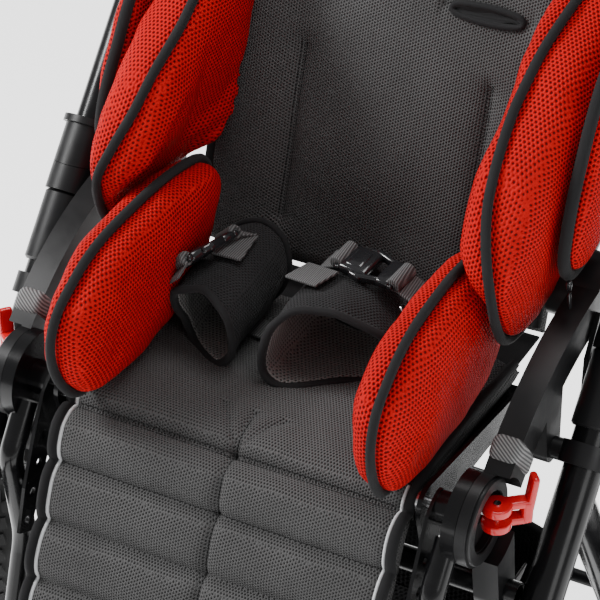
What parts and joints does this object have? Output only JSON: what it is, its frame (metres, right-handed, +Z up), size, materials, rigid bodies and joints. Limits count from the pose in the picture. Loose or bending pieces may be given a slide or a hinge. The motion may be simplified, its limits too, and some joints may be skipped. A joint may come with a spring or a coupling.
{
  "type": "jogging stroller",
  "caption": "Three-wheeled support stroller with padded seat, hip and side pads, thigh cuffs, reclining back, lifting leg rest, folding push handle and mesh basket.",
  "frame": {"origin": "on the floor, under the middle of the object", "axes": "+X to the child's left, +Y to the rear, +Z up; the child faces -Y"},
  "size_m": [0.66, 1.2106, 1.0778],
  "materials": {
    "black_frame": "satin black powder coat",
    "black_plastic": "fine moulded grain",
    "gloss_black": "glossy moulded",
    "steel": "zinc plated",
    "red_plastic": "glossy red",
    "red_mesh": "open spacer mesh with black binding",
    "grey_mesh": "quilted spacer mesh",
    "black_mesh": "coarse black mesh",
    "webbing": "ribbed webbing",
    "tyre": "treaded rubber",
    "foam": "closed-cell foam",
    "wheel_moulding": "moulded composite"
  },
  "bodies": {
    "frame": {"side_tube_left": "black_frame", "side_tube_right": "black_frame", "head_block": "black_plastic", "rear_legs": "black_frame", "rear_axle": "black_frame", "lower_stays": "black_frame", "seat_cross_bar": "black_frame", "knuckle_base_left": "black_plastic", "knuckle_base_right": "black_plastic", "seat_arm_left": "black_plastic", "seat_arm_right": "black_plastic", "latch_box_left": "black_plastic", "latch_box_right": "black_plastic", "hub_covers": "black_plastic", "lever_pins": "steel", "frame_bolts": "steel", "arm_straps": "webbing", "seat_plate": "black_frame", "seat_pad": "grey_mesh", "hip_pad_left": "red_mesh", "hip_pad_right": "red_mesh", "thigh_cuff_left": "black_mesh", "thigh_cuff_right": "black_mesh", "cuff_buckles": "gloss_black", "basket": "black_mesh"},
    "pusher": {"pusher_tube_left": "black_frame", "pusher_tube_right": "black_frame", "knuckle_cap_left": "black_plastic", "knuckle_cap_right": "black_plastic", "handle_housings": "black_plastic"},
    "handle": {"handle_sockets": "black_plastic", "handle_bar": "black_frame", "handle_grip": "foam"},
    "sleeve_left": {"lock_sleeve_left": "black_plastic"},
    "sleeve_right": {"lock_sleeve_right": "black_plastic"},
    "backrest": {"back_frame": "black_frame", "back_pad": "grey_mesh", "recline_discs": "black_plastic", "side_pad_left": "red_mesh", "side_pad_right": "red_mesh"},
    "leg_rest": {"leg_bar_left": "black_frame", "leg_bar_right": "black_frame", "leg_plates": "black_frame", "calf_pad": "grey_mesh"},
    "footrest": {"footrest_frame": "black_frame"},
    "foot_board": {"footplate": "black_plastic"},
    "lever_left": {"cam_lever_left": "red_plastic"},
    "lever_right": {"cam_lever_right": "red_plastic"},
    "trigger_left": {"recline_trigger_left": "black_plastic"},
    "trigger_right": {"recline_trigger_right": "black_plastic"},
    "wheel_left": {"rear_tyre_left": "tyre", "rear_wheel_left": "wheel_moulding"},
    "wheel_right": {"rear_tyre_right": "tyre", "rear_wheel_right": "wheel_moulding"},
    "fork": {"front_fork": "black_frame", "front_axle": "steel"},
    "wheel_front": {"front_tyre": "tyre", "front_wheel": "wheel_moulding"},
    "lock_pin": {"swivel_lock_pin": "black_plastic"},
    "brake": {"brake_pedal": "black_plastic"}
  },
  "joints": [
    {"name": "rear_wheel_left_spin", "type": "hinge", "parent": "frame", "child": "wheel_left", "pos_m": [0.3, 0.26671, 0.2], "axis": [1, 0, 0], "continuous": true},
    {"name": "rear_wheel_right_spin", "type": "hinge", "parent": "frame", "child": "wheel_right", "pos_m": [-0.3, 0.26671, 0.2], "axis": [1, 0, 0], "continuous": true},
    {"name": "fork_swivel", "type": "hinge", "parent": "frame", "child": "fork", "pos_m": [0, -0.49279, 0.35], "axis": [0, 0, 1], "range_deg": [-180, 180]},
    {"name": "front_wheel_spin", "type": "hinge", "parent": "fork", "child": "wheel_front", "pos_m": [0, -0.45279, 0.1525], "axis": [1, 0, 0], "continuous": true},
    {"name": "swivel_lock", "type": "slide", "parent": "frame", "child": "lock_pin", "axis": [0, 0, -1], "range_m": [0, 0.012]},
    {"name": "brake_press", "type": "hinge", "parent": "frame", "child": "brake", "pos_m": [0, 0.25671, 0.264], "axis": [-1, 0, 0], "range_deg": [0, 16]},
    {"name": "push_fold", "type": "hinge", "parent": "frame", "child": "pusher", "pos_m": [0, 0.20693, 0.58268], "axis": [-1, 0, 0], "range_deg": [0, 110]},
    {"name": "handle_angle", "type": "hinge", "parent": "pusher", "child": "handle", "pos_m": [0, 0.51168, 0.97336], "axis": [1, 0, 0], "range_deg": [-70, 20]},
    {"name": "sleeve_left_slide", "type": "slide", "parent": "frame", "child": "sleeve_left", "axis": [0, -0.6494, -0.7604], "range_m": [0, 0.01], "stiffness_N_per_m": 400},
    {"name": "sleeve_right_slide", "type": "slide", "parent": "frame", "child": "sleeve_right", "axis": [0, -0.6494, -0.7604], "range_m": [0, 0.01], "stiffness_N_per_m": 400},
    {"name": "recline", "type": "hinge", "parent": "frame", "child": "backrest", "pos_m": [0, 0.21571, 0.592], "axis": [-1, 0, 0], "range_deg": [0, 28]},
    {"name": "trigger_left_press", "type": "slide", "parent": "frame", "child": "trigger_left", "axis": [0, 0.866, -0.5], "range_m": [0, 0.004], "stiffness_N_per_m": 300},
    {"name": "trigger_right_press", "type": "slide", "parent": "frame", "child": "trigger_right", "axis": [0, 0.866, -0.5], "range_m": [0, 0.004], "stiffness_N_per_m": 300},
    {"name": "leg_lift", "type": "hinge", "parent": "frame", "child": "leg_rest", "pos_m": [0, 0.01671, 0.5], "axis": [-1, 0, 0], "range_deg": [0, 40]},
    {"name": "foot_length", "type": "slide", "parent": "leg_rest", "child": "footrest", "axis": [0, -0.3162, -0.9487], "range_m": [0, 0.06]},
    {"name": "footplate_flip", "type": "hinge", "parent": "footrest", "child": "foot_board", "pos_m": [0, -0.07529, 0.186], "axis": [-1, 0, 0], "range_deg": [0, 50]},
    {"name": "lever_left_open", "type": "hinge", "parent": "frame", "child": "lever_left", "pos_m": [0.2159, 0.02271, 0.504], "axis": [0, 0, -1], "range_deg": [0, 100]},
    {"name": "lever_right_open", "type": "hinge", "parent": "frame", "child": "lever_right", "pos_m": [-0.2159, 0.02271, 0.504], "axis": [0, 0, 1], "range_deg": [0, 100]}
  ]
}
